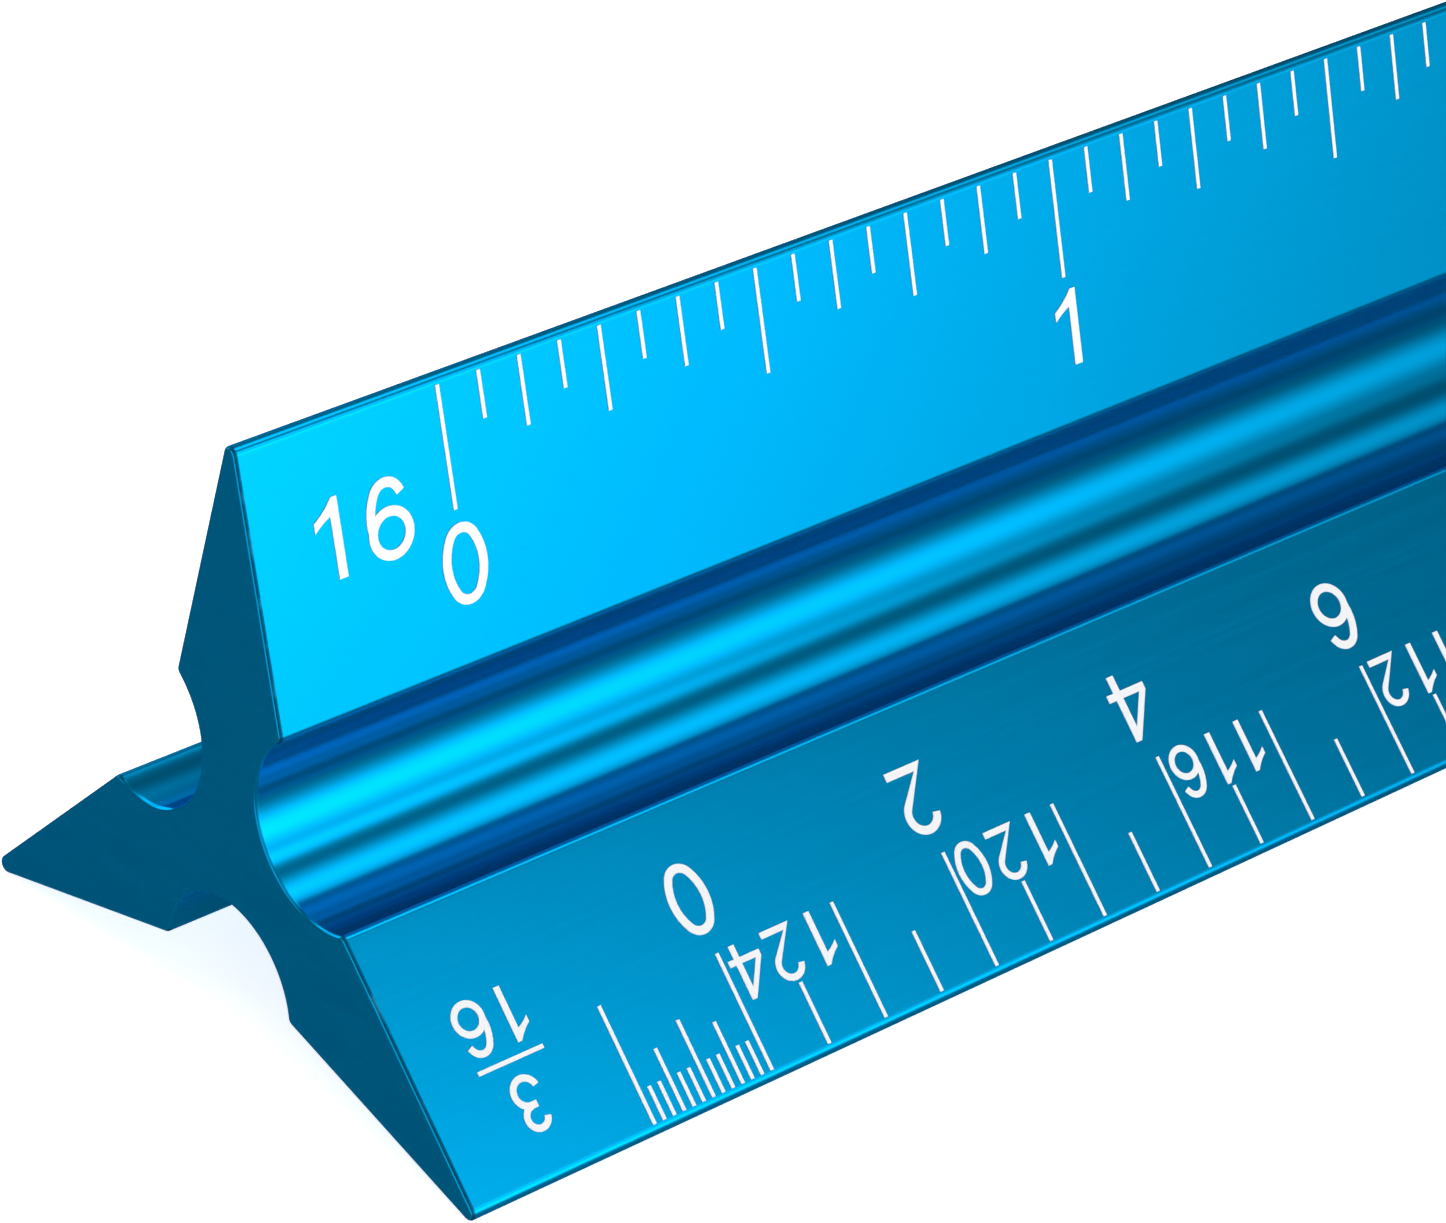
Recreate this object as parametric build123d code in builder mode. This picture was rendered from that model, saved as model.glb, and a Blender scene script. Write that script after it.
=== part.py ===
from build123d import *
import os
from math import atan2, cos, degrees, radians, sin, tan
from typing import NamedTuple

# Triangular architect's scale, 12 inches: one aluminium extrusion of three arms, with the
# graduations and numerals of eleven scales printed on its six faces.
#
# Frame: X along the ruler with 0 at mid-length, Y across with the front at -Y, Z up.
# The ruler rests on the tips of its two lower arms, at Z = 0.

# ---------------------------------------------------------------- driving dimensions, mm
inch = 25.4
body_length = 320.0
graduated_inches = 12

flank_angle = 15.0          # each scale face leans this much from its arm's middle plane
apex_radius = 14.91         # axis to the sharp edge that the two faces of an arm would meet in
tip_rounding = 0.30
groove_radius = 3.10
groove_offset = 5.17        # axis to the centre of each groove
shoulder_rounding = 0.25
end_chamfer = 0.12

print_thickness = 0.03
line_width = 0.13
line_start = 0.25           # from the tip's plane, along the face, to where every line starts

long_line = 4.00            # long lines of the paired scales, and the inches of the 16 scale
short_line = 2.11           # the single feet between them
sixteenth_lines = (4.00, 1.54, 2.26, 1.54, 2.75, 1.54, 2.26, 1.54, 3.46)
half_foot_line = 2.62
quarter_foot_line = 2.10
inch_line = 1.14
fine_line = 0.90            # half inches and smaller
finest_line = 0.68          # every other fine line, where a foot holds 48 or more

pair_shift = 0.38           # the paired scales sit this much nearer their large scale's end
text_shift = 0.06           # numbers stand this much to the right of their lines

inch_text = 2.58            # numeral heights
large_text = 2.33
small_text = 1.82
inch_baseline = 7.28        # from the tip's plane, along the face, to the foot of each row
large_baseline = 7.28
small_baseline = 4.29
foot_baseline = 5.16
name_baseline = 5.03
name_inset = 3.58           # body end to the middle of a paired scale's name
sixteen_name_inset = 4.01
fraction_bar = 3.84
fraction_top_baseline = 3.29
fraction_low_baseline = 6.06
fraction_bar_width = 0.14
fraction_bar_margin = 0.48  # a bar is this much shorter than two numeral places
mixed_fraction_shift = 0.55  # in bar lengths: a mixed name's fraction stands this far outward
mixed_whole_shift = 0.75    # in bar lengths: and its whole number this far the other way

# ---------------------------------------------------------------- derived sizes
tip_centre = apex_radius - tip_rounding / sin(radians(flank_angle))
tip_radius = tip_centre + tip_rounding
axis_height = tip_centre * sin(radians(30)) + tip_rounding
inner_radius = apex_radius * tan(radians(flank_angle)) / (
    sin(radians(60)) + cos(radians(60)) * tan(radians(flank_angle))
)

top_arm = 90
front_arm = 210
back_arm = 330

os.makedirs("parts", exist_ok=True)


# ---------------------------------------------------------------- numerals
# Plain upright numerals, drawn as strokes one unit high, centred on the Y axis. Round
# numerals dip a little below the line that the flat ones stand on.
stroke = 0.122
half_stroke = stroke / 2
numeral_top = 1 - half_stroke
numeral_foot = half_stroke - 0.017
numeral_middle = (numeral_top + numeral_foot) / 2
oval_half_height = (numeral_top - numeral_foot) / 2
oval_half_width = 0.268
oval_end_radius = 0.20
oval_side_radius = (
    (oval_half_height - oval_end_radius) ** 2 + oval_half_width**2 - oval_end_radius**2
) / (2 * (oval_half_width - oval_end_radius))
oval_side_centre = oval_side_radius - oval_half_width
oval_join_angle = degrees(atan2(oval_half_height - oval_end_radius, oval_side_centre))
upper_bowl = 0.200
lower_bowl = 0.2425
waist = numeral_foot + 2 * lower_bowl

numeral_pitch = 0.828       # spacing of neighbouring numerals
one_pitch = 0.725           # the same between two ones

with BuildSketch() as zero:
    with BuildLine():
        for turn in (0, 180):
            side_x = -oval_side_centre if turn == 0 else oval_side_centre
            end_y = (oval_half_height - oval_end_radius) * (1 if turn == 0 else -1)
            CenterArc(
                (side_x, numeral_middle),
                oval_side_radius,
                turn - oval_join_angle,
                2 * oval_join_angle,
            )
            CenterArc(
                (0, numeral_middle + end_y),
                oval_end_radius,
                turn + oval_join_angle,
                180 - 2 * oval_join_angle,
            )
    trace(line_width=stroke)

with BuildSketch() as one:
    with BuildLine():
        Polyline((0.009, 0.779), (0.009, 0), (0.131, 0), (0.131, 1), (0.053, 1))
        SagittaArc((0.053, 1), (-0.235, 0.753), 0.018)
        Line((-0.235, 0.753), (-0.235, 0.632))
        SagittaArc((-0.235, 0.632), (0.009, 0.779), 0.012)
    make_face()

two_hook = 0.233
two_hook_centre = numeral_top - two_hook
two_join = radians(-40)
with BuildSketch() as two:
    with BuildLine():
        CenterArc((0, two_hook_centre), two_hook, 170, degrees(two_join) - 170)
    trace(line_width=stroke)
    with BuildLine():
        Polyline(
            (
                (two_hook - half_stroke) * cos(two_join),
                two_hook_centre + (two_hook - half_stroke) * sin(two_join),
            ),
            (-0.335, 0),
            (0.313, 0),
            (0.313, 0.118),
            (-0.185, 0.118),
            (
                (two_hook + half_stroke) * cos(two_join),
                two_hook_centre + (two_hook + half_stroke) * sin(two_join),
            ),
            close=True,
        )
    make_face()

with BuildSketch() as three:
    with BuildLine():
        CenterArc((0, numeral_top - upper_bowl), upper_bowl, -90, 258)
    trace(line_width=stroke)
    with BuildLine():
        CenterArc((0, numeral_foot + lower_bowl), lower_bowl, -168, 258)
        Line((0, waist), (-0.11, waist))
    trace(line_width=stroke)

with BuildSketch() as four:
    Polygon(
        (0.063, 0),
        (0.185, 0),
        (0.185, 0.238),
        (0.320, 0.238),
        (0.320, 0.351),
        (0.185, 0.351),
        (0.185, 1),
        (0.085, 1),
        (-0.369, 0.351),
        (-0.369, 0.238),
        (0.063, 0.238),
        align=None,
    )
    Polygon((0.063, 0.351), (0.063, 0.800), (-0.249, 0.351), align=None, mode=Mode.SUBTRACT)

five_bowl = 0.262
with BuildSketch() as five:
    with BuildLine():
        CenterArc((0, numeral_foot + five_bowl), five_bowl, -168, 310)
    trace(line_width=stroke)
    with BuildLine():
        Polyline((0.270, 0.922), (-0.175, 0.922), (-0.243, 0.470))
    trace(line_width=stroke)

with BuildSketch() as six:
    with BuildLine():
        CenterArc(
            (-oval_side_centre, numeral_middle), oval_side_radius, 24, oval_join_angle - 24
        )
        CenterArc(
            (0, numeral_top - oval_end_radius),
            oval_end_radius,
            oval_join_angle,
            180 - 2 * oval_join_angle,
        )
        CenterArc(
            (oval_side_centre, numeral_middle),
            oval_side_radius,
            180 - oval_join_angle,
            oval_join_angle + 9,
        )
    trace(line_width=stroke)
    with BuildLine():
        CenterArc((0, numeral_foot + oval_half_width), oval_half_width, 0, 360)
    trace(line_width=stroke)

with BuildSketch() as seven:
    with BuildLine():
        Line((-0.321, 0.924), (0.322, 0.924))
    trace(line_width=stroke)
    with BuildLine():
        RadiusArc((0.262, 0.920), (-0.071, 0), -1.45)
    trace(line_width=stroke)

with BuildSketch() as eight:
    for bowl, centre in (
        (upper_bowl, numeral_top - upper_bowl),
        (lower_bowl, numeral_foot + lower_bowl),
    ):
        with BuildLine():
            CenterArc((0, centre), bowl, 0, 360)
        trace(line_width=stroke)

with BuildSketch() as nine:
    with Locations(Location((0, 2 * numeral_middle), 180)):
        add(six.sketch)

numerals = {
    "0": zero.sketch,
    "1": one.sketch,
    "2": two.sketch,
    "3": three.sketch,
    "4": four.sketch,
    "5": five.sketch,
    "6": six.sketch,
    "7": seven.sketch,
    "8": eight.sketch,
    "9": nine.sketch,
}


def numeral_places(text, height):
    """Offsets of a number's numerals from the number's middle."""
    places = [0.0]
    for left, right in zip(text, text[1:]):
        pitch = one_pitch if left == right == "1" else numeral_pitch
        places.append(places[-1] + pitch * height)
    middle = places[-1] / 2
    return [place - middle for place in places]


def print_numbers(entries, height):
    """Print numbers in the open sketch. Each entry is (text, middle, baseline)."""
    spots = {}
    for text, middle, baseline in entries:
        for character, place in zip(text, numeral_places(text, height)):
            spots.setdefault(character, []).append((middle + text_shift + place, -baseline))
    for character, places in spots.items():
        shape = scale(numerals[character], by=height, mode=Mode.PRIVATE)
        with Locations(*places):
            add(shape)


def print_lines(lines):
    """Print graduation lines in the open sketch, from a list of (place, length)."""
    by_length = {}
    for place, length in lines:
        by_length.setdefault(length, []).append((place, -line_start))
    for length, places in by_length.items():
        with Locations(*places):
            Rectangle(line_width, length, align=(Align.CENTER, Align.MAX))


def print_scale_name(whole, over, under, middle):
    """Print a scale's name: a whole number, a stacked fraction, or one beside the other."""
    if not over:
        print_numbers([(whole, middle, name_baseline)], inch_text)
        return
    bar_length = len(under) * numeral_pitch * small_text - fraction_bar_margin * (len(under) - 1)
    fraction_middle = middle + (bar_length * mixed_fraction_shift if whole else 0)
    print_numbers(
        [
            (over, fraction_middle, fraction_top_baseline),
            (under, fraction_middle, fraction_low_baseline),
        ],
        small_text,
    )
    with Locations((fraction_middle + text_shift, -fraction_bar)):
        Rectangle(bar_length, fraction_bar_width)
    if whole:
        whole_middle = middle - bar_length * mixed_whole_shift
        print_numbers([(whole, whole_middle, name_baseline)], inch_text)


def scale_plane(arm_angle, side):
    """Plane of one scale face: X is the way it reads, Y points to the measuring edge."""
    normal_angle = radians(arm_angle + side * (90 - flank_angle))
    edge_angle = radians(arm_angle - side * flank_angle)
    outward = Vector(0, cos(normal_angle), sin(normal_angle))
    toward_edge = Vector(0, cos(edge_angle), sin(edge_angle))
    edge_width = (apex_radius - tip_radius) * tan(radians(flank_angle)) * side
    arm = radians(arm_angle)
    origin = Vector(
        0,
        tip_radius * cos(arm) - edge_width * sin(arm),
        axis_height + tip_radius * sin(arm) + edge_width * cos(arm),
    )
    return Plane(origin=origin, x_dir=toward_edge.cross(outward), z_dir=outward)


# ---------------------------------------------------------------- extrusion
with BuildPart() as extrusion:
    with BuildSketch(Plane.YZ.offset(-body_length / 2)) as section:
        with BuildLine():
            Polyline(
                *[
                    (
                        radius * cos(radians(angle)),
                        axis_height + radius * sin(radians(angle)),
                    )
                    for angle, radius in zip(
                        range(30, 390, 60), (inner_radius, apex_radius) * 3
                    )
                ],
                close=True,
            )
        make_face()
        axis_point = (0, axis_height, 0)
        tips = section.vertices().sort_by_distance(axis_point)[-3:]
        fillet(tips, tip_rounding)
        with Locations((0, axis_height)):
            with PolarLocations(groove_offset, 3, start_angle=30):
                Circle(groove_radius, mode=Mode.SUBTRACT)
        shoulders = section.vertices().sort_by_distance(axis_point)[:6]
        fillet(shoulders, shoulder_rounding)
    extrude(amount=body_length)
    ends = extrusion.faces().filter_by(Axis.X)
    chamfer(ends.edges(), end_chamfer)
extrusion.part.label = "extrusion"
export_step(extrusion.part, "parts/extrusion.step")


# ---------------------------------------------------------------- the 16 scale
sixteenth = inch / 16
sixteen_zero = -graduated_inches * inch / 2

with BuildPart() as graduations:
    with BuildSketch(scale_plane(top_arm, 1)):
        print_lines(
            [
                (sixteen_zero + mark * sixteenth, sixteenth_lines[min(mark % 16, -mark % 16)])
                for mark in range(graduated_inches * 16 + 1)
            ]
        )
    extrude(amount=print_thickness)
graduations.part.label = "scale_16_graduations"
export_step(graduations.part, "parts/scale_16_graduations.step")

with BuildPart() as numbers:
    with BuildSketch(scale_plane(top_arm, 1)):
        print_numbers(
            [
                (str(mark), sixteen_zero + mark * inch, inch_baseline)
                for mark in range(graduated_inches + 1)
            ],
            inch_text,
        )
        print_scale_name("16", "", "", sixteen_name_inset - body_length / 2)
    extrude(amount=print_thickness)
numbers.part.label = "scale_16_numerals"
export_step(numbers.part, "parts/scale_16_numerals.step")


# ---------------------------------------------------------------- the paired scales
class Scale(NamedTuple):
    name: str               # used in the names of the parts
    foot: float             # inches along the ruler that stand for one foot
    whole: str              # the printed name: a whole number,
    over: str               # and a fraction's upper
    under: str              # and lower numbers
    divisions: int          # parts of the divided foot outside zero
    number_step: int        # feet from one number to the next
    foot_numbers: tuple = ()


class Pair(NamedTuple):
    arm: int
    side: int
    small: Scale            # reads from the left
    large: Scale            # twice as large, reads from the right


pairs = (
    Pair(
        front_arm,
        -1,
        Scale("3_32", 3 / 32, "", "3", "32", divisions=6, number_step=4),
        Scale("3_16", 3 / 16, "", "3", "16", divisions=12, number_step=2),
    ),
    Pair(
        top_arm,
        -1,
        Scale("1_8", 1 / 8, "", "1", "8", divisions=6, number_step=4),
        Scale("1_4", 1 / 4, "", "1", "4", divisions=12, number_step=2),
    ),
    Pair(
        back_arm,
        1,
        Scale("1_2", 1 / 2, "", "1", "2", divisions=24, number_step=2),
        Scale("1", 1, "1", "", "", divisions=48, number_step=1, foot_numbers=(3, 6, 9)),
    ),
    Pair(
        front_arm,
        1,
        Scale("3_8", 3 / 8, "", "3", "8", divisions=12, number_step=2),
        Scale("3_4", 3 / 4, "", "3", "4", divisions=24, number_step=1),
    ),
    Pair(
        back_arm,
        -1,
        Scale("1_1_2", 3 / 2, "1", "1", "2", divisions=48, number_step=2, foot_numbers=(3, 6, 9)),
        Scale("3", 3, "3", "", "", divisions=96, number_step=1, foot_numbers=(3, 6, 9)),
    ),
)


def foot_line(division, divisions):
    """Length of one line of a divided foot."""
    if division == divisions:
        return long_line
    if 12 * division % (6 * divisions) == 0:
        return half_foot_line
    if 12 * division % (3 * divisions) == 0:
        return quarter_foot_line
    if 12 * division % divisions == 0:
        return inch_line
    if 24 * division % divisions == 0:
        return fine_line
    return finest_line


for pair in pairs:
    plane = scale_plane(pair.arm, pair.side)
    right_end = graduated_inches * inch / 2 + pair_shift
    left_end = pair_shift - graduated_inches * inch / 2
    small_foot = pair.small.foot * inch
    large_foot = pair.large.foot * inch
    large_zero = right_end - large_foot
    small_zero = left_end + small_foot
    intervals = round((large_zero - small_zero) / small_foot)

    # Single feet between the two zeros: one line for every foot of the small scale, and
    # every second one, which is also a foot of the large scale, is long.
    with BuildPart() as graduations:
        with BuildSketch(plane):
            print_lines(
                [
                    (large_zero - mark * small_foot, short_line if mark % 2 else long_line)
                    for mark in range(intervals + 1)
                ]
            )
        extrude(amount=print_thickness)
    graduations.part.label = f"scale_{pair.small.name}_and_{pair.large.name}_graduations"
    export_step(graduations.part, f"parts/{graduations.part.label}.step")

    for scale_set, zero_place, outward, baseline, height in (
        (pair.small, small_zero, -1, small_baseline, small_text),
        (pair.large, large_zero, 1, large_baseline, large_text),
    ):
        foot = scale_set.foot * inch
        feet = int((large_zero - small_zero) / foot + 0.001)

        with BuildPart() as foot_divisions:
            with BuildSketch(plane):
                print_lines(
                    [
                        (
                            zero_place + outward * foot * division / scale_set.divisions,
                            foot_line(division, scale_set.divisions),
                        )
                        for division in range(1, scale_set.divisions + 1)
                    ]
                )
            extrude(amount=print_thickness)
        foot_divisions.part.label = f"scale_{scale_set.name}_divided_foot"
        export_step(foot_divisions.part, f"parts/{foot_divisions.part.label}.step")

        with BuildPart() as numbers:
            with BuildSketch(plane):
                print_numbers(
                    [
                        (str(value), zero_place - outward * value * foot, baseline)
                        for value in range(0, feet + 1, scale_set.number_step)
                    ],
                    height,
                )
                print_numbers(
                    [
                        (str(value), zero_place + outward * foot * value / 12, foot_baseline)
                        for value in scale_set.foot_numbers
                    ],
                    small_text,
                )
                print_scale_name(
                    scale_set.whole,
                    scale_set.over,
                    scale_set.under,
                    outward * (body_length / 2 - name_inset),
                )
            extrude(amount=print_thickness)
        numbers.part.label = f"scale_{scale_set.name}_numerals"
        export_step(numbers.part, f"parts/{numbers.part.label}.step")
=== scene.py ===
from math import atan2, cos, pi, radians, sin

import bmesh
import bpy
from mathutils import Matrix, Vector


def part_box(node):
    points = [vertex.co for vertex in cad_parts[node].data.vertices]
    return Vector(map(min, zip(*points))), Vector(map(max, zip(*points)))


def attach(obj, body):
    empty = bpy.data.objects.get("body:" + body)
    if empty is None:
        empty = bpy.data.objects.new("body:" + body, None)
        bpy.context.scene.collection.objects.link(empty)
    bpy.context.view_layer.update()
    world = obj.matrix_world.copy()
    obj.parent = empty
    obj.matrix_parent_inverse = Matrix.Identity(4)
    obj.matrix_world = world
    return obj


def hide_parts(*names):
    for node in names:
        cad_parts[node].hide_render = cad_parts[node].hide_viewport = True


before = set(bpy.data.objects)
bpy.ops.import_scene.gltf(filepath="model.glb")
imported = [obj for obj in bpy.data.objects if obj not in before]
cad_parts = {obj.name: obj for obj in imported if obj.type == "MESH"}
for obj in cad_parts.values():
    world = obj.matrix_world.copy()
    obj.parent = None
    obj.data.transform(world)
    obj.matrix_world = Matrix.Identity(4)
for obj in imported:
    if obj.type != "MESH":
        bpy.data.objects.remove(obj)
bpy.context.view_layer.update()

MM = 0.001

# ---------------------------------------------------------------- section of the extrusion
ARM_ANGLES = (radians(90), radians(210), radians(330))
HALF_BETWEEN_ARMS = radians(60)
FLANK_ANGLE = radians(15)
APEX_RADIUS = 14.91 * MM
TIP_ROUNDING = 0.30 * MM
GROOVE_RADIUS = 3.10 * MM
GROOVE_OFFSET = 5.17 * MM
SHOULDER_ROUNDING = 0.25 * MM
END_ROUNDING = 0.12 * MM

TIP_CENTRE = APEX_RADIUS - TIP_ROUNDING / sin(FLANK_ANGLE)
AXIS_HEIGHT = TIP_CENTRE * cos(HALF_BETWEEN_ARMS) + TIP_ROUNDING

TIP_STEPS = 12
SHOULDER_STEPS = 8
GROOVE_STEPS = 72
END_STEPS = 5
PAINTED_SHADE_RINGS = 3                # rings of each rounded end, next to the faces, drawn in far darker dye: painted shade, a dark line round the end
SAME_PLACE = 0.00001 * MM

# Material slots; the last is the ends' edge rings, drawn as a painted dark line with a painted
# highlight.
FACE, GROOVE, END, PAINTED_EDGE = 0, 1, 2, 3


def arc(centre, radius, start, sweep, steps, inward, region):
    """Points round an arc as (y, z, normal y, normal z, region), angles in radians."""
    points = []
    for step in range(steps + 1):
        angle = start + sweep * step / steps
        c, s = cos(angle), sin(angle)
        turn = -1 if inward else 1
        points.append(
            (centre[0] + radius * c, centre[1] + radius * s, turn * c, turn * s, region)
        )
    return points


def half_arm():
    """One arm's tip to the bottom of the groove beside it, in the arm's own frame (arm along u)."""
    # The face's line: distance from the axis along its own normal, which leans from the arm.
    normal = (sin(FLANK_ANGLE), cos(FLANK_ANGLE))
    face_distance = APEX_RADIUS * sin(FLANK_ANGLE)
    groove = (GROOVE_OFFSET * cos(HALF_BETWEEN_ARMS), GROOVE_OFFSET * sin(HALF_BETWEEN_ARMS))
    # The shoulder's arc touches the face line from inside and the groove circle from outside.
    inner_line = face_distance - SHOULDER_ROUNDING
    reach = GROOVE_RADIUS + SHOULDER_ROUNDING
    along = (cos(FLANK_ANGLE), -sin(FLANK_ANGLE))
    groove_along = groove[0] * along[0] + groove[1] * along[1]
    groove_off = groove[0] * normal[0] + groove[1] * normal[1] - inner_line
    shoulder_along = groove_along + (reach**2 - groove_off**2) ** 0.5
    shoulder = (
        along[0] * shoulder_along + normal[0] * inner_line,
        along[1] * shoulder_along + normal[1] * inner_line,
    )
    to_groove = atan2(groove[1] - shoulder[1], groove[0] - shoulder[0])
    face_normal = pi / 2 - FLANK_ANGLE
    points = arc((TIP_CENTRE, 0), TIP_ROUNDING, 0, face_normal, TIP_STEPS, False, FACE)
    points += arc(
        shoulder, SHOULDER_ROUNDING, face_normal, to_groove - face_normal,
        SHOULDER_STEPS, False, FACE,
    )
    # The groove's arc runs the shorter way round, from the shoulder to the groove's bottom.
    start = to_groove + pi
    bottom = HALF_BETWEEN_ARMS + pi
    sweep = (bottom - start + pi) % (2 * pi) - pi
    points += arc(groove, GROOVE_RADIUS, start, sweep, GROOVE_STEPS // 2, True, GROOVE)
    return points


def apart(first, second):
    """Whether two points of the outline are at different places."""
    return abs(first[0] - second[0]) + abs(first[1] - second[1]) > SAME_PLACE


def section():
    """The whole outline, counter-clockwise seen from +X, as (y, z, normal y, normal z, region)."""
    half = half_arm()
    other = [(u, -v, nu, -nv, region) for u, v, nu, nv, region in reversed(half)]
    arm = other[1:] + half[1:]
    outline = []
    for angle in ARM_ANGLES:
        c, s = cos(angle), sin(angle)
        for u, v, nu, nv, region in arm:
            outline.append((
                u * c - v * s, AXIS_HEIGHT + u * s + v * c,
                nu * c - nv * s, nu * s + nv * c, region,
            ))
    # Neighbours that fall on the same place, where arcs meet, are kept once.
    kept = []
    for point in outline:
        if not kept or apart(point, kept[-1]):
            kept.append(point)
    if not apart(kept[0], kept[-1]):
        kept.pop()
    return kept


def end_rings(low_x, high_x):
    """Rings along the length: (x, how far the outline is drawn in, lean of the normals to +X)."""
    rings = []
    for step in range(END_STEPS + 1):
        lean = pi / 2 * step / END_STEPS
        back = END_ROUNDING * (1 - sin(lean))
        inset = END_ROUNDING * (1 - cos(lean))
        rings.insert(0, (low_x + back, inset, -lean))
        rings.append((high_x - back, inset, lean))
    return rings


def build_extrusion(materials):
    """The body as one mesh, with rounded ends and exact normals."""
    low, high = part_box("extrusion")
    outline = section()
    count = len(outline)
    rings = end_rings(low[0], high[0])
    mesh = bpy.data.meshes.new("extrusion_body")
    shape = bmesh.new()
    rows, normals = [], []
    for x, inset, lean in rings:
        row = []
        for y, z, ny, nz, _ in outline:
            row.append(shape.verts.new((x, y - ny * inset, z - nz * inset)))
            normals.append(Vector((sin(lean), ny * cos(lean), nz * cos(lean))))
        rows.append(row)
    # Rings of the rounded ends next to the faces, which take the painted dark line.
    painted_edge_rows = (
        *range(END_STEPS - PAINTED_SHADE_RINGS, END_STEPS),
        *range(END_STEPS + 1, END_STEPS + 1 + PAINTED_SHADE_RINGS),
    )
    for number, (near, far) in enumerate(zip(rows, rows[1:])):
        for i in range(count):
            j = (i + 1) % count
            face = shape.faces.new((near[i], near[j], far[j], far[i]))
            face.smooth = True
            if outline[i][4] == GROOVE and outline[j][4] == GROOVE:
                face.material_index = GROOVE
            else:
                # Those rings get the edge material, whose far darker dye is painted shade.
                face.material_index = PAINTED_EDGE if number in painted_edge_rows else FACE
    for row, turned in ((rows[0], True), (rows[-1], False)):
        face = shape.faces.new(list(reversed(row)) if turned else row)
        face.smooth = True
        face.material_index = END
    shape.to_mesh(mesh)
    shape.free()
    for material in materials:
        mesh.materials.append(material)
    mesh.normals_split_custom_set_from_vertices(normals)
    body = bpy.data.objects.new("extrusion_body", mesh)
    bpy.context.collection.objects.link(body)
    return body


# ---------------------------------------------------------------- materials
METALLIC = 0.70               # share of bare metal in the shading; the rest scatters in the dye
DYE_DEEP = (0.0, 0.197, 0.398)
DYE_LIGHT = (0.0, 0.212, 0.422)
DYE_RIM = (0.0, 0.5, 1.0)
# Colour of the worn patches on the ends' edges: light cyan, part bare metal and part a painted
# highlight.
WEAR_AND_HIGHLIGHT_COLOUR = (0.05, 0.50, 0.74)
DYE_SCALE = 45.0              # noise scales are per metre
GRAIN_SCALE = 9000.0
GRAIN_HEIGHT = 0.0004 * MM
WEAR_AND_HIGHLIGHT_SCALE = 900.0
DIE_LINES = (12.0, 5200.0, 5200.0)        # along X, Y and Z: drawn out along the bar
SAW_LINES = (3000.0, 260.0, 4200.0)       # drawn out along Y, as the saw crosses the end
DIE_RELIEF = 0.0006 * MM
SAW_RELIEF = 0.0030 * MM
EDGE_RELIEF = 0.0010 * MM
PRINT_DEEP = (0.93, 0.94, 0.95)
PRINT_LIGHT = (0.99, 0.99, 0.99)
PRINT_COVER_SCALE = 600.0
PRINT_TEXTURE_SCALE = 12000.0
PRINT_RELIEF = 0.005 * MM
FLOOR_GREY = (0.9, 0.9, 0.9)
FLOOR_ROUGHNESS = 0.9
FLOOR_EMISSION = 0.80
FLOOR_HALF = 3.0
MIX_A, MIX_B = 6, 7           # the two colour sockets of a Mix node


class Nodes:
    """A small helper that adds and links shader nodes."""

    def __init__(self, name):
        self.material = bpy.data.materials.new(name)
        self.material.use_nodes = True
        self.tree = self.material.node_tree
        self.shader = self.tree.nodes["Principled BSDF"]

    def add(self, kind, settings=None, **inputs):
        node = self.tree.nodes.new(kind)
        for key, value in (settings or {}).items():
            setattr(node, key, value)
        for key, value in inputs.items():
            socket = node.inputs[key.replace("_", " ")]
            if isinstance(value, bpy.types.NodeSocket):
                self.tree.links.new(value, socket)
            else:
                socket.default_value = value
        return node

    def link(self, source, socket):
        self.tree.links.new(source, self.shader.inputs[socket])


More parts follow.
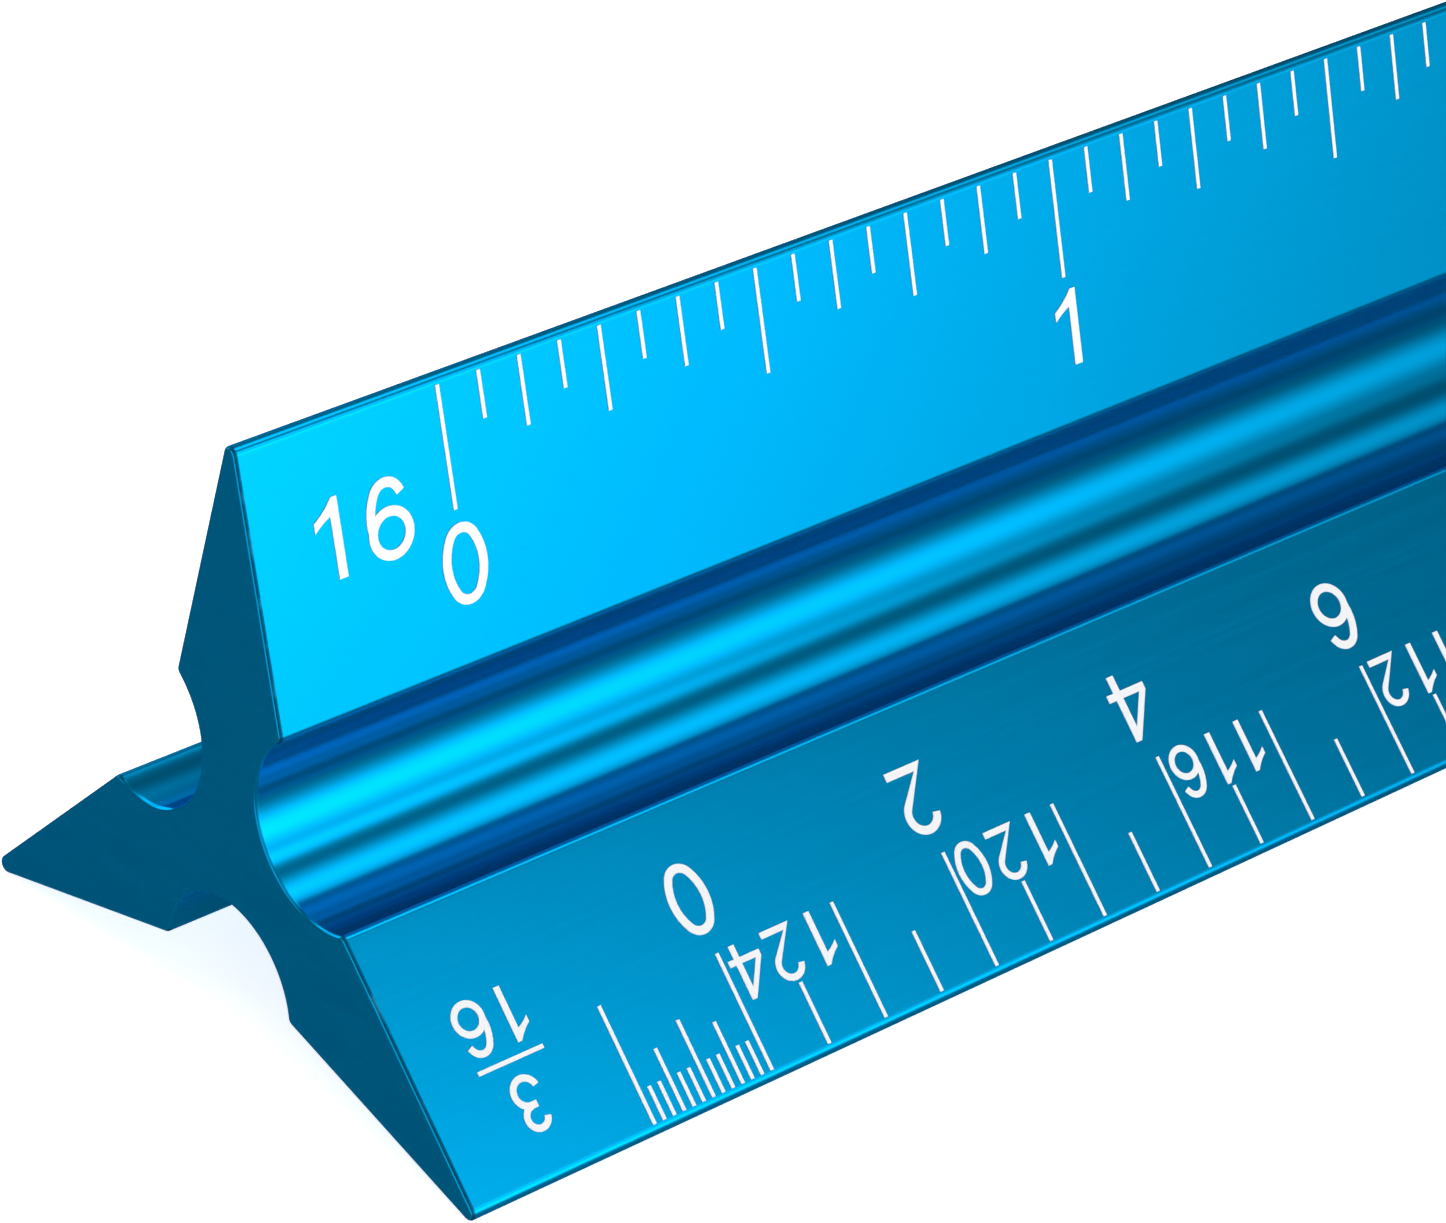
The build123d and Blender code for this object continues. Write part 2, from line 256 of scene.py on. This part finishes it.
def anodised(name, rough_low, rough_high, marks_scale, marks_detail, marks_height,
             painted_shade_depth=1.0, wear_and_highlight=0.0):
    """Dyed anodised aluminium with marks left by the die or the saw, set by how they stretch; the
    dye can be drawn darker as painted shade, and worn patches drawn light cyan, part wear and part
    painted highlight.
    """
    nodes = Nodes(name)
    shader = nodes.shader
    shader.inputs["Metallic"].default_value = METALLIC
    shader.inputs["Specular IOR Level"].default_value = 0.0
    shader.inputs["Specular Tint"].default_value = (*DYE_RIM, 1)
    place = nodes.add("ShaderNodeTexCoord").outputs["Object"]
    # The dye takes slightly unevenly over a few centimetres.
    clouds = nodes.add("ShaderNodeTexNoise", Vector=place, Scale=DYE_SCALE, Detail=3.0)
    dye = nodes.add("ShaderNodeMix", {"data_type": "RGBA"})
    nodes.tree.links.new(clouds.outputs["Fac"], dye.inputs["Factor"])
    # The dye is scaled darker here: painted shade in the groove, on the sawn ends and along the
    # ends' edges.
    dye.inputs[MIX_A].default_value = (*(painted_shade_depth * part for part in DYE_DEEP), 1)
    dye.inputs[MIX_B].default_value = (*(painted_shade_depth * part for part in DYE_LIGHT), 1)
    colour = dye.outputs[2]
    # Marks of the tool: long fine streaks on the faces, short ones on the sawn ends.
    stretched = nodes.add("ShaderNodeMapping", Vector=place, Scale=marks_scale)
    marks = nodes.add(
        "ShaderNodeTexNoise", Vector=stretched.outputs[0], Scale=1.0, Detail=marks_detail
    )
    # Etched grain under the anodised layer.
    grain = nodes.add("ShaderNodeTexNoise", Vector=place, Scale=GRAIN_SCALE, Detail=2.0)
    # Worn patches, coloured light cyan: part wear, part a painted highlight along the ends' edges.
    if wear_and_highlight:
        wear_and_highlight_noise = nodes.add("ShaderNodeTexNoise", Vector=place, Scale=WEAR_AND_HIGHLIGHT_SCALE, Detail=4.0)
        wear_and_highlight_patch = nodes.add(
            "ShaderNodeMapRange", Value=wear_and_highlight_noise.outputs["Fac"], From_Min=0.55, From_Max=0.70,
            To_Min=0.0, To_Max=wear_and_highlight,
        )
        wear_and_highlight_mix = nodes.add("ShaderNodeMix", {"data_type": "RGBA"})
        nodes.tree.links.new(wear_and_highlight_patch.outputs[0], wear_and_highlight_mix.inputs["Factor"])
        nodes.tree.links.new(colour, wear_and_highlight_mix.inputs[MIX_A])
        wear_and_highlight_mix.inputs[MIX_B].default_value = (*WEAR_AND_HIGHLIGHT_COLOUR, 1)
        colour = wear_and_highlight_mix.outputs[2]
    nodes.link(colour, "Base Color")
    rough = nodes.add(
        "ShaderNodeMapRange", Value=marks.outputs["Fac"], From_Min=0.3, From_Max=0.7,
        To_Min=rough_low, To_Max=rough_high,
    )
    nodes.link(rough.outputs[0], "Roughness")
    fine = nodes.add(
        "ShaderNodeBump", Strength=0.5, Distance=GRAIN_HEIGHT, Height=grain.outputs["Fac"]
    )
    relief = nodes.add(
        "ShaderNodeBump", Strength=1.0, Distance=marks_height, Height=marks.outputs["Fac"],
        Normal=fine.outputs[0],
    )
    nodes.link(relief.outputs[0], "Normal")
    return nodes.material


def white_print():
    """Matt white print: a little uneven in whiteness, with a faint surface texture."""
    nodes = Nodes("white_print")
    shader = nodes.shader
    place = nodes.add("ShaderNodeTexCoord").outputs["Object"]
    cover = nodes.add("ShaderNodeTexNoise", Vector=place, Scale=PRINT_COVER_SCALE, Detail=3.0)
    white = nodes.add("ShaderNodeMix", {"data_type": "RGBA"})
    nodes.tree.links.new(cover.outputs["Fac"], white.inputs["Factor"])
    white.inputs[MIX_A].default_value = (*PRINT_DEEP, 1)
    white.inputs[MIX_B].default_value = (*PRINT_LIGHT, 1)
    nodes.link(white.outputs[2], "Base Color")
    texture = nodes.add(
        "ShaderNodeTexNoise", Vector=place, Scale=PRINT_TEXTURE_SCALE, Detail=2.0
    )
    rough = nodes.add(
        "ShaderNodeMapRange", Value=texture.outputs["Fac"], To_Min=0.45, To_Max=0.65
    )
    nodes.link(rough.outputs[0], "Roughness")
    relief = nodes.add(
        "ShaderNodeBump", Strength=0.4, Distance=PRINT_RELIEF, Height=texture.outputs["Fac"]
    )
    nodes.link(relief.outputs[0], "Normal")
    shader.inputs["Specular IOR Level"].default_value = 0.3
    return nodes.material


body = build_extrusion([
    anodised("anodised_face", 0.13, 0.17, DIE_LINES, 4.0, DIE_RELIEF),
    # The groove's dye drawn darker: painted shade in the recess.
    anodised("anodised_groove_painted_shade", 0.10, 0.14, DIE_LINES, 4.0, DIE_RELIEF, painted_shade_depth=0.89),
    # The sawn ends' dye drawn darker: painted shade, since the end is the same anodised blue.
    anodised("anodised_end_painted_shade", 0.28, 0.38, SAW_LINES, 3.0, SAW_RELIEF, painted_shade_depth=0.82),
    # The ends' edge rings: dye drawn far darker as a painted dark line, and worn patches coloured
    # light cyan, part wear and part painted highlight.
    anodised("anodised_edge_painted_shade_and_highlight", 0.30, 0.42, SAW_LINES, 3.0, EDGE_RELIEF, painted_shade_depth=0.30, wear_and_highlight=0.16),
])
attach(body, "root")
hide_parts("extrusion")

ink = white_print()
for name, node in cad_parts.items():
    if name == "extrusion":
        continue
    node.data.materials.clear()
    node.data.materials.append(ink)

# ---------------------------------------------------------------- floor
floor_mesh = bpy.data.meshes.new("floor")
corners = [(a * FLOOR_HALF, b * FLOOR_HALF, 0) for a, b in ((-1, -1), (1, -1), (1, 1), (-1, 1))]
floor_mesh.from_pydata(corners, [], [(0, 1, 2, 3)])
floor = bpy.data.objects.new("floor", floor_mesh)
bpy.context.collection.objects.link(floor)
floor_nodes = Nodes("pale_floor")
floor_nodes.shader.inputs["Base Color"].default_value = (*FLOOR_GREY, 1)
floor_nodes.shader.inputs["Roughness"].default_value = FLOOR_ROUGHNESS
floor_nodes.shader.inputs["Emission Color"].default_value = (1, 1, 1, 1)
floor_nodes.shader.inputs["Emission Strength"].default_value = FLOOR_EMISSION
floor_mesh.materials.append(floor_nodes.material)
floor.visible_glossy = False

# ---------------------------------------------------------------- light
# What the metal mirrors: a dim room with long soft boxes that run beside the ruler. Each is
# (angle round the ruler from the front horizon, spread, least X, greatest X, softness along X,
# strength), with angles in degrees and X as the direction's own component. The boxes that face
# the photograph's view are the brightest; dimmer ones beside them light the straight front view.
ROOM_GLOW = 0.07
ALL_ROUND = 400.0             # a spread so wide that the angle hardly matters
SOFT_BOXES = (
    (0.0, ALL_ROUND, -1.0, 0.50, 0.120, 0.23),
    (83.0, 11.0, 0.30, 0.45, 0.157, 4.60),
    (39.5, 6.0, 0.30, 0.45, 0.095, 5.00),
    (7.0, 15.0, 0.30, 0.45, 0.150, 6.30),
    (83.0, 11.0, -0.45, 0.05, 0.157, 2.00),
    (39.5, 6.0, -0.45, 0.05, 0.150, 2.20),
    (7.0, 15.0, -0.45, 0.05, 0.150, 2.60),
    (140.5, 9.0, -0.45, 0.28, 0.120, 3.40),
    (173.0, 13.0, -0.45, 0.28, 0.120, 4.30),
    (0.0, ALL_ROUND, -1.0, -0.90, 0.030, 1.75),
    (0.0, ALL_ROUND, 0.90, 1.0, 0.030, 2.40),
)


def maths(tree, operation, first, second=None):
    node = tree.nodes.new("ShaderNodeMath")
    node.operation = operation
    for socket, value in zip(node.inputs, (first, second)):
        if isinstance(value, bpy.types.NodeSocket):
            tree.links.new(value, socket)
        elif value is not None:
            socket.default_value = value
    return node.outputs[0]


def squared_spreads(tree, distance, spread):
    """A distance squared in spreads, for a bell curve's exponent."""
    ratio = maths(tree, "DIVIDE", distance, spread)
    return maths(tree, "MULTIPLY", ratio, ratio)


def build_world():
    """The studio's soft boxes and dim glow, as a world shader over the ray's direction."""
    world = bpy.data.worlds.new("studio")
    bpy.context.scene.world = world
    world.use_nodes = True
    tree = world.node_tree
    background = tree.nodes["Background"]
    direction = tree.nodes.new("ShaderNodeTexCoord").outputs["Generated"]
    split = tree.nodes.new("ShaderNodeSeparateXYZ")
    tree.links.new(direction, split.inputs[0])
    x, y, z = split.outputs
    toward_front = maths(tree, "MULTIPLY", y, -1)
    turned = maths(tree, "DEGREES", maths(tree, "ARCTAN2", z, toward_front))
    total = ROOM_GLOW
    for angle, spread, least, greatest, softness, strength in SOFT_BOXES:
        around = squared_spreads(tree, maths(tree, "SUBTRACT", turned, angle), spread)
        before = maths(tree, "SUBTRACT", least, x)
        beyond = maths(tree, "SUBTRACT", x, greatest)
        outside = maths(tree, "MAXIMUM", maths(tree, "MAXIMUM", before, beyond), 0)
        exponent = maths(tree, "ADD", around, squared_spreads(tree, outside, softness))
        glow = maths(tree, "EXPONENT", maths(tree, "MULTIPLY", exponent, -0.5))
        total = maths(tree, "ADD", maths(tree, "MULTIPLY", glow, strength), total)
    # The camera sees plain white behind the floor.
    seen = tree.nodes.new("ShaderNodeLightPath").outputs["Is Camera Ray"]
    mix = tree.nodes.new("ShaderNodeMix")
    tree.links.new(seen, mix.inputs["Factor"])
    tree.links.new(total, mix.inputs["A"])
    mix.inputs["B"].default_value = 1.0
    tree.links.new(mix.outputs["Result"], background.inputs["Strength"])
    background.inputs["Color"].default_value = (1, 1, 1, 1)
    # The room is only what shiny surfaces mirror; the lamps below light everything else.
    world.cycles_visibility.diffuse = False


build_world()

# Name, place, width and height, power in watts.
LAMPS = (
    ("front_lamp", (-0.3, -1.4, 0.8), (2.0, 1.2), 13),
    ("top_lamp", (0.0, 0.0, 1.6), (2.4, 2.0), 12.5),
    ("back_lamp", (0.3, 1.4, 0.8), (2.0, 1.2), 13),
    ("left_lamp", (-1.5, 0.0, 0.6), (1.2, 1.2), 2),
    ("right_lamp", (1.5, 0.0, 0.6), (1.2, 1.2), 7),
)


def area_light(name, place, size, power):
    """A soft light aimed at the origin, for the print and the floor; the metal doesn't mirror it."""
    data = bpy.data.lights.new(name, "AREA")
    data.shape = "RECTANGLE"
    data.size, data.size_y = size
    data.energy = power
    light = bpy.data.objects.new(name, data)
    light.location = place
    light.rotation_euler = (-Vector(place)).to_track_quat("-Z", "Y").to_euler()
    light.visible_camera = False
    light.visible_glossy = False
    bpy.context.collection.objects.link(light)


for lamp in LAMPS:
    area_light(*lamp)

# ---------------------------------------------------------------- camera
CAMERA_PLACE = (-0.259206, -0.13174, 0.114572)
HEADING = radians(42.13)      # from +Y towards +X
PITCH = radians(30.86)        # below the horizon
ROLL = radians(2.79)
LENS = 159.46
SENSOR_WIDTH = 36
CLIP_START = 0.01
camera_data = bpy.data.cameras.new("camera")
camera_data.lens = LENS
camera_data.sensor_width = SENSOR_WIDTH
camera_data.clip_start = CLIP_START
camera = bpy.data.objects.new("camera", camera_data)
camera.matrix_world = (
    Matrix.Translation(CAMERA_PLACE)
    @ Matrix.Rotation(-HEADING, 4, "Z")
    @ Matrix.Rotation(pi / 2 - PITCH, 4, "X")
    @ Matrix.Rotation(ROLL, 4, "Z")
)
bpy.context.collection.objects.link(camera)
bpy.context.scene.camera = camera
bpy.context.scene.view_settings.view_transform = "Standard"
